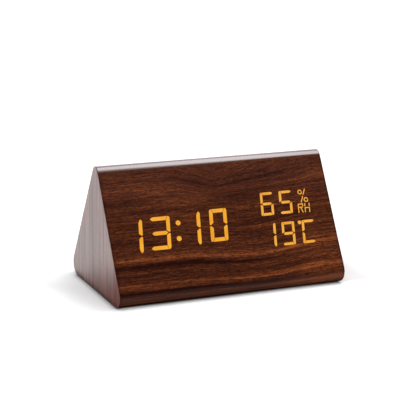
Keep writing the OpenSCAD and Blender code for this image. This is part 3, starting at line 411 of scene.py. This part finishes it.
def framed(x_lines, run_lines, middle, half_x, half_run, round_r, steps=7):
    """Grid of a stretch of the sheet with an opening: its columns follow the border of the stretch once round, and
    its rows run straight from there to the rounded opening. A point of the border that is beside a straight edge of
    the opening goes square to that edge; one beyond it goes to a point of the opening's corner."""
    side = run_lines - middle
    border = np.concatenate([
        np.stack([x_lines, np.full_like(x_lines, side[0])], -1),
        np.stack([np.full_like(side, x_lines[-1]), side], -1)[1:],
        np.stack([x_lines[::-1], np.full_like(x_lines, side[-1])], -1)[1:],
        np.stack([np.full_like(side, x_lines[0]), side[::-1]], -1)[1:]])
    x, run = border.T
    straight_x, straight_run = half_x - round_r, half_run - round_r
    end_run = np.where(run < 0, -side[0], side[-1])
    on_long_side = np.isclose(np.abs(run), end_run)
    past_x = np.clip((np.abs(x) - straight_x) / (x_lines[-1] - straight_x), 0, 1)
    past_run = np.clip((np.abs(run) - straight_run) / (end_run - straight_run), 0, 1)
    turn = np.where(on_long_side, np.pi / 2 - np.pi / 4 * past_x, np.pi / 4 * past_run)
    inner_x = np.where(on_long_side & (past_x == 0), x, np.sign(x) * (straight_x + round_r * np.cos(turn)))
    inner_run = np.where(~on_long_side & (past_run == 0), run, np.sign(run) * (straight_run + round_r * np.sin(turn)))
    share = np.linspace(0, 1, steps)[:, None]
    return inner_x + (x - inner_x) * share, middle + inner_run + (run - inner_run) * share


# Half the length and half the height of each opening, and the radius of its corners
PLATE_OPENING = (0.0522, 0.0152, 0.0032)
TRAY_OPENING = (0.03405, 0.02305, 0.0027)
plate_middle = stations[3] + flat_run - (FRONT_MIDDLE - stations[1] + PLATE_UP)
tray_middle = (stations[5] + stations[6]) / 2


def lines(*marks, pitch):
    """Evenly spaced lines between neighbouring marks, each gap divided into steps of about the pitch."""
    steps = [np.linspace(a, b, max(2, round((b - a) / pitch) + 1))[:-1] for a, b in zip(marks, marks[1:])]
    return np.append(np.concatenate(steps), marks[-1])


# Lines lie closer on the round stretches, and a narrow pair of them holds each flat one flat
LONG_PITCH, FLAT_PITCH, ROUND_PITCH, SUPPORT = 0.004, 0.003, 0.0006, 0.0004
plate_x, tray_x = PLATE_OPENING[0] - PLATE_OPENING[2], TRAY_OPENING[0] - TRAY_OPENING[2]
x_lines = lines(-SHEET_END, -plate_x, -tray_x, tray_x, plate_x, SHEET_END, pitch=LONG_PITCH)
front_run = lines(0, stations[1], stations[1] + SUPPORT, stations[2] - SUPPORT, stations[2], stations[3],
                  pitch=ROUND_PITCH)
front_grid = np.meshgrid(x_lines, front_run)
edge_grid = np.meshgrid(x_lines, lines(stations[4], stations[5], pitch=ROUND_PITCH))
rear_lines = np.unique(np.concatenate([
    lines(stations[3], plate_middle, stations[4], pitch=FLAT_PITCH),
    plate_middle + np.array([-1, 1]) * (PLATE_OPENING[1] - PLATE_OPENING[2])]))
base_lines = np.unique(np.concatenate([
    lines(stations[5], tray_middle, stations[6], pitch=FLAT_PITCH),
    tray_middle + np.array([-1, 1]) * (TRAY_OPENING[1] - TRAY_OPENING[2])]))
rear_grid = framed(x_lines, rear_lines, plate_middle, *PLATE_OPENING)
base_grid = framed(x_lines, base_lines, tray_middle, *TRAY_OPENING)
patches, grain = [], []
for x, run in (front_grid, edge_grid, rear_grid, base_grid):
    for inset in (0, VENEER):
        patches.append(veneer_at(x, run, inset))
        grain.append(np.stack([x, run - FRONT_MIDDLE], axis=-1))
round_run = np.concatenate([front_run, rear_lines, edge_grid[1][:, 0], base_lines])
rims = [(np.full_like(round_run, side * SHEET_END), round_run) for side in (-1, 1)]
for x, run in [*rims, (rear_grid[0][0], rear_grid[1][0]), (base_grid[0][0], base_grid[1][0])]:
    patches.append(np.stack([veneer_at(x, run, 0), veneer_at(x, run, VENEER)]))
    grain.append(np.stack([np.stack([x, run - FRONT_MIDDLE], axis=-1)] * 2))


def streaks(along, across, length, width, detail=2.0):
    """Noise from 0 to 1 in streaks of about this length and width in millimetres."""
    place = along.node("ShaderNodeCombineXYZ", None, {0: along / length, 1: across / width})
    return along.node("ShaderNodeTexNoise", {"noise_dimensions": "2D"},
                      {"Vector": place, "Scale": 1.0, "Detail": detail, "Roughness": 0.6})


def band_at(field, middle, half_width):
    """1 in the middle of a band, with a smooth fall to 0 at its two borders."""
    return step(abs(field - middle), half_width, 0.0)


def grain_axes(start):
    """Millimetres along and across the grain, from the sheet's own UV map."""
    millimetres = 1000
    pair = start.node("ShaderNodeSeparateXYZ", None, {0: start.node("ShaderNodeUVMap", {"uv_map": "grain"})})
    return pair * millimetres, pair.other(1) * millimetres


def walnut_wood(start, shader, along, ring, tone, palette, filled):
    """The brown of walnut from a field across its growth rings and its tone: a ramp of browns, broken up by fibres and
    ticks and by short pores of the darkest brown. Fibres and pores also roughen and dent the shader's surface. Where
    the lacquer fills the grain, they show less."""
    pore_depth = 0.00002
    fibre = streaks(along, ring, 9, 0.6, 3.0)
    ticks = streaks(along, ring, 2.2, 0.5, 1.0)
    pores = step(streaks(along, ring, 4.6, 0.45, 1.0), 0.57, 0.66)
    shown = 1 - filled * 0.6
    detail = ((fibre - 0.5) * 0.7 + (ticks - 0.5) * 0.45) * shown
    wood = start.node("ShaderNodeValToRGB", {"stops": palette}, {0: tone + detail})
    (fibre * 0.14 + pores * 0.12 + 0.34).feed(shader, "Roughness")
    raise_by((fibre * 0.35 - pores) * (1 - filled), shader, pore_depth)
    return tint(pores * shown * 0.65, wood, palette[0][1])


walnut_face, shader, start = new_finish("walnut_face", {
    "Specular IOR Level": 0.0, "Coat Roughness": 0.16, "Coat IOR": 1.9})
along, across = grain_axes(start)
# Millimetres by which the rings leave the level: they sag right of the middle, rise towards the right end, dip in a V
# below the ridge, and wander and ripple all over
SAG, RISE, VEE, WANDER, RIPPLE = 3.9, 1.2, 9, 1.2, 0.4
sag = band_at(along, 16, 48) * step(across, -58, -14) * step(across, 16, -4) * SAG - step(along, 40, 80) * RISE
left_arm, right_arm = along / 24 + 1.08, 0.97 - along / 68
vee = start.math("MAXIMUM", start.math("MINIMUM", left_arm, right_arm), 0.0)
vee = vee * step(across, 14, 26) * step(across, 72, 46) * VEE
wander = (streaks(along, across, 60, 16) - 0.5) * WANDER
ripple = (streaks(along, across, 11, 3) - 0.5) * RIPPLE
ring = across + sag + vee + wander + ripple
# The figure is softer on the upper front and paler at the lower right
MEAN_TONE, CONTRAST, SOFTER = 0.425, 0.8, 0.26
upper = step(across, 6, 28) * step(across, 60, 44)
tone = (streaks(along, ring, 70, 1.7, 4.0) - 0.5) * (CONTRAST - upper * SOFTER) + MEAN_TONE
tone = tone + step(along, 36, 58) * step(across, 4, -10) * 0.1
# Pale and dark streaks: ring, half width, middle along the face, half length, tone
TAPER = 12
for middle, half_width, place, reach, amount in (
        (-14.5, 2.5, -20, 40, 0.08), (-17.0, 2.4, 0, 100, 0.27), (-21.4, 2.4, -45, 75, -0.28),
        (-27.0, 5.0, -60, 62, -0.1), (-32.6, 1.9, 0, 100, 0.24), (-37.2, 2.2, -32, 66, -0.34),
        (0.0, 1.6, 24, 12, 0.22), (5.4, 2.0, 75, 22, 0.2), (-6.5, 4.0, -75, 30, -0.09),
        (-7.5, 3.0, 62, 12, -0.1), (-3.2, 2.0, 20, 14, -0.12), (26.0, 5.0, -62, 28, 0.1),
        (18.0, 2.4, -70, 16, -0.18), (20.0, 9.0, -24, 18, 0.08), (17.0, 6.0, 12, 14, -0.08),
        (32.5, 2.4, 10, 40, -0.24), (36.2, 1.6, -6, 46, -0.1), (-42.0, 3.4, 62, 40, 0.18),
        (-31.5, 5.0, 38, 26, 0.08), (-33.0, 3.0, -38, 14, -0.15), (21.0, 7.0, 14, 16, -0.1),
        (26.0, 5.0, 70, 12, 0.18)):
    lengthwise = step(abs(along - place), reach + TAPER, reach - TAPER)
    tone = tone + band_at(ring, middle, half_width) * lengthwise * amount
# Painted shade: darker from the ridge backwards, and under the lower edge where it turns down to the floor; darker
# also at the sheet's two ends
tone = tone - step(across, 38.5, 40.5) * 0.06 - step(across, -43.5, -46.5) * 0.45
tone = tone - step(abs(along), 72.5, 74.6) * 0.12
# Lacquer lies thick on the ridge, from a little higher up towards the left end, and thin on the lower edge. The third
# number is a painted sheen on the colour of the upper front
LOWER_LACQUER, FACE_LACQUER, PAINTED_SHEEN = 0.095, 0.01, 0.01
ridge_gloss = step(across - step(along, 10, -70), 37.0, 40.0) * step(across, 51, 50)
ridge_gloss = ridge_gloss * (1 - step(along, 20, 75) * 0.1)
lower_gloss = band_at(across, -40.6, 4)
filled = start.math("MAXIMUM", ridge_gloss, step(across, -36.5, -39))
brown = walnut_wood(start, shader, along, ring, tone, [
    (0.12, srgb(39, 15, 10)), (0.36, srgb(67, 33, 21)), (0.6, srgb(97, 50, 28)), (0.86, srgb(144, 77, 40))], filled)
# Painted sheen: the upper front's brown is mixed a little towards a pale mauve grey
tint(upper * PAINTED_SHEEN, brown, srgb(190, 145, 150)).feed(shader, "Base Color")
(ridge_gloss + lower_gloss * LOWER_LACQUER + FACE_LACQUER).feed(shader, "Coat Weight")
wrap = surface("walnut_sheet", patches, walnut_face, grain)
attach(wrap, "body")
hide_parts("walnut_wrap")


# Walnut veneer on the ends
# The same veneer with its grain upright, glued over each end and sanded round at its edge. Its thick lacquer takes a
# soft sheen that breaks up along the grain towards the base, and ends in a pale line inside a bare, dark rim.
walnut_end, shader, start = new_finish("walnut_end", {
    "Specular IOR Level": 0.05, "Coat Roughness": 0.3, "Coat IOR": 2.0})
along, across = grain_axes(start)
WANDER, RIPPLE = 3, 0.6
ring = across + (streaks(along, across, 60, 16) - 0.5) * WANDER + (streaks(along, across, 12, 3) - 0.5) * RIPPLE
BODY_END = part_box("right_end_veneer")[1].x
# Depths below the flat end between which the pale line comes in, and then the bare rim
LINE_FROM, LINE_TO, BARE_FROM, BARE_TO = 0.000005, 0.00005, 0.00008, 0.0002
end_x = abs(along_body(start))
pale_line = step(end_x, BODY_END - LINE_FROM, BODY_END - LINE_TO)
lacquered = step(end_x, BODY_END - BARE_TO, BODY_END - BARE_FROM)
# Height above the base in millimetres, taken on a slant that is lower towards the front
SLANT = 0.45
height = along + across * SLANT
MEAN_TONE, CONTRAST, LOW_CONTRAST = 0.45, 0.9, 1.1
tone = (streaks(along, ring, 90, 2.2, 4.0) - 0.5) * (CONTRAST + step(height, 20, -12) * LOW_CONTRAST) + MEAN_TONE
# Painted shade: the wood is darker in its lowest few millimetres, next to the floor. The bare rim is darker too
tone = tone - step(along, 4.5, 0.5) * 0.25 - (1 - lacquered) * 0.28
brown = walnut_wood(start, shader, along, ring, tone, [
    (0.12, srgb(56, 17, 9)), (0.36, srgb(95, 38, 24)), (0.6, srgb(128, 58, 38)), (0.86, srgb(174, 92, 66))],
    filled=0.7)
brown.feed(shader, "Base Color")
# The lacquer's thickness varies along the grain, and its lower border follows the figure of the wood
LINE_LACQUER, LEAST_LACQUER = 0.6, 0.1
figure = streaks(along, ring, 60, 3.0, 3.0) - 0.5
thick = step(height + figure * 34, -14, 22) * (1 - LEAST_LACQUER) + LEAST_LACQUER
lacquer = (streaks(along, ring, 70, 2.2, 3.0) * 0.7 + 0.555) * thick * step(along + figure * 14, -2, 6)
(start.math("MAXIMUM", lacquer, pale_line * LINE_LACQUER) * lacquered).feed(shader, "Coat Weight")
RIM, RIM_START, RINGS = 0.0009, 0.00005, 6
rim_inset, rim_out = corner((0, SHEET_END + RIM_START), (RIM, BODY_END))
# The section once round, without the points that two stretches share
apart = np.append(True, np.diff(round_run) > 1e-9)
outline = np.append(round_run[apart], stations[6])
end_middle = np.array([0, FOOT_HEIGHT + BASE_WIDTH / 2 * math.tan(SLOPE / 2)])
for side, name in ((-1, "left_end_veneer"), (1, "right_end_veneer")):
    # Rings from the middle of the back, out to the rim, over it and in to the middle of the flat end
    inset = np.concatenate([[0, 0], rim_inset, np.full(RINGS, rim_inset[-1])])
    out = np.concatenate([[SHEET_END, SHEET_END], rim_out, np.full(RINGS, BODY_END)])
    spread = np.concatenate([[0, 1], np.ones(len(rim_inset)), np.linspace(1, 0, RINGS + 1)[1:]])
    y, z = section(outline[None, :], inset[:, None])
    y, z = (m + (value - m) * spread[:, None] for value, m in zip((y, z), end_middle))
    x = np.broadcast_to(side * out[:, None], y.shape)
    plate = surface(name.replace("veneer", "sheet"), [np.stack([x, y, z], -1)], walnut_end,
                    [np.stack([z, y], -1)])
    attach(plate, "body")
    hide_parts(name)


# Rubber feet
# Four stick-on discs of grey rubber with a rounded lower edge, pressed onto the underside near the corners.
foot_rubber = moulded("foot_rubber", srgb(52, 52, 53), srgb(70, 70, 71), 0.8, 0.0003, 0.00002)
FOOT_RADIUS, FOOT_ROUND, FOOT_FLAT = 0.005, 0.00035, 0.003
low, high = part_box("rubber_feet")
lip_r, lip_h = corner((FOOT_RADIUS, FOOT_ROUND), (FOOT_RADIUS - FOOT_ROUND, 0))
foot_r = np.concatenate([[0, FOOT_RADIUS], lip_r, [FOOT_FLAT, 0]])
foot_h = np.concatenate([[high.z, high.z], lip_h, [0, 0]])
u, v, w = turned(foot_r, foot_h, count=48)
feet = surface("foot_discs", [
    np.stack([u + x, v + y, w], axis=-1)
    for x in (low.x + FOOT_RADIUS, high.x - FOOT_RADIUS) for y in (low.y + FOOT_RADIUS, high.y - FOOT_RADIUS)],
    foot_rubber)
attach(feet, "body")
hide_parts("rubber_feet")


# White studio
# A white floor that runs out of sight, under a sky that is white to the camera. Above and behind the clock it is
# brighter, but only to gloss, which gives the ridge and the ends their sheen. Soft lights hang overhead and behind
# the left end.
def rays(start):
    """1 for a ray from the camera, off gloss and through glass: three outputs of one Light Path node."""
    path = start.node("ShaderNodeLightPath")
    return path, path.other(3), path.other(6)


WHITE, COOL_WHITE, PALE_FLOOR = (1, 1, 1, 1), (0.93, 0.985, 1, 1), (0.82, 0.82, 0.82, 1)
FOOTPRINT, REACH = (0.075, 0.0348, 0.0), 3.0
studio_white, _, start = new_finish("studio_white", {})
to_camera, to_gloss, to_glass = rays(start)
# How far a point of the floor is from the clock's footprint, and on which side of it
past = start.vector("SUBTRACT", start.vector("ABSOLUTE", on_piece(start)), FOOTPRINT)
away = start.vector("LENGTH", start.vector("MAXIMUM", past, (0.0, 0.0, 0.0)), out=1)
floor_x = along_body(start)
floor_y = floor_x.other(1)
front = step(floor_y, -0.034, -0.042)
right_side = step(floor_x, 0.04, 0.08) * (1 - front)
left_side = step(floor_x, -0.06, -0.085) * (1 - front)
rear_left = left_side * step(floor_y, 0.0, 0.04)
front_corners = (step(floor_x, -0.04, -0.07) + step(floor_x, 0.06, 0.075) * 0.6) * front
# The floor's own glow, which lifts the shadow: beside the clock, a little way round it, and far off
ROUND_GLOW, FAR_GLOW = 0.44, 0.65
beside = front * 0.04 + 0.32 - right_side * 0.3 - left_side * 0.115 + rear_left * 0.115
glow = step(away + front_corners * 0.0034, 0.0, 0.004) * beside
glow = glow + step(away - right_side * 0.01 - rear_left * 0.022, 0.006, 0.034) * (ROUND_GLOW - beside)
glow = glow + step(away, 0.1, 0.8) * FAR_GLOW
mirrored = to_gloss * (1 - front * step(away, 0.05, 0.02) * 0.7)
shown = start.math("MAXIMUM", to_camera, start.math("MAXIMUM", mirrored, to_glass))
cool = tint(left_side * step(away, 0.2, 0.1), WHITE, COOL_WHITE)
plain = start.node("ShaderNodeBsdfDiffuse", None, {"Color": PALE_FLOOR})
lift = start.node("ShaderNodeEmission", None, {"Color": cool, "Strength": shown * glow})
both = start.node("ShaderNodeAddShader", None, {0: plain, 1: lift})
both.feed(start.tree.nodes["Material Output"], "Surface")
corner_x, corner_y = np.meshgrid([-REACH, REACH], [-REACH, REACH])
floor = surface("studio_floor", [np.stack([corner_x, corner_y, np.zeros((2, 2))], axis=-1)], studio_white)

world = bpy.data.worlds.new("studio")
bpy.context.scene.world = world
world.use_nodes = True
start = Field(world.node_tree)
to_camera, to_gloss, to_glass = rays(start)
# The bright part starts overhead, where it is brightest, and falls off behind the clock and to both sides
BACKDROP, BACKDROP_PEAK, SIDE_LOSS, FILL = 1.66, 1.25, 0.8, 0.25
sideways = start.node("ShaderNodeSeparateXYZ", None, {0: start.node("ShaderNodeTexCoord")})
behind = sideways.other(1)
backdrop = to_gloss * step(behind, -0.56, -0.28) * (step(behind, 0.6, -0.3) * BACKDROP_PEAK + BACKDROP)
backdrop = backdrop * (1 - step(abs(sideways), 0.55, 0.9) * SIDE_LOSS)
sky = world.node_tree.nodes["Background"]
tint(to_gloss, WHITE, srgb(255, 247, 255)).feed(sky, "Color")
plain_white = start.math("MAXIMUM", to_camera, to_glass)
start.math("MAXIMUM", plain_white, backdrop + (1 - to_gloss) * FILL).feed(sky, "Strength")


def soft_light(name, place, aim, width, depth, watts):
    """A rectangular soft light at a place, turned to face another."""
    lamp = bpy.data.lights.new(name, "AREA")
    lamp.shape, lamp.size, lamp.size_y, lamp.energy = "RECTANGLE", width, depth, watts
    holder = bpy.data.objects.new(name, lamp)
    towards = np.array(aim, float) - np.array(place, float)
    holder.location = place
    holder.rotation_euler = mathutils.Vector(towards).to_track_quat("-Z", "Y").to_euler()
    bpy.context.scene.collection.objects.link(holder)


soft_light("overhead", place=(0.1, -0.12, 0.62), aim=(0, 0, 0.04), width=1.0, depth=0.6, watts=5.5)
soft_light("behind_left", place=(-0.55, 0.75, 0.35), aim=(-0.07, 0, 0.03), width=0.7, depth=0.6, watts=1.2)

TARGET = np.array([-0.0006076, 0, 0.045891])
AZIMUTH, ELEVATION, ROLL = np.radians([-24.1485, 14.5074, 0.9726])
DISTANCE, LENS, SENSOR = 0.866106, 120.25, 36
# The camera's axes: back from the target, then right and up, turned by the roll
back = np.array([
    math.sin(AZIMUTH) * math.cos(ELEVATION), -math.cos(AZIMUTH) * math.cos(ELEVATION), math.sin(ELEVATION)])
right = np.cross(-back, [0, 0, 1])
right /= np.linalg.norm(right)
above = np.cross(right, -back)
right, above = math.cos(ROLL) * right + math.sin(ROLL) * above, math.cos(ROLL) * above - math.sin(ROLL) * right
lens = bpy.data.cameras.new("camera")
lens.lens, lens.sensor_width, lens.sensor_fit = LENS, SENSOR, "HORIZONTAL"
camera = bpy.data.objects.new("camera", lens)
pose = np.eye(4)
pose[:3, :3] = np.stack([right, above, back], axis=1)
pose[:3, 3] = TARGET + DISTANCE * back
camera.matrix_world = pose.T
bpy.context.scene.collection.objects.link(camera)
bpy.context.scene.camera = camera
bpy.context.scene.view_settings.view_transform = "Standard"
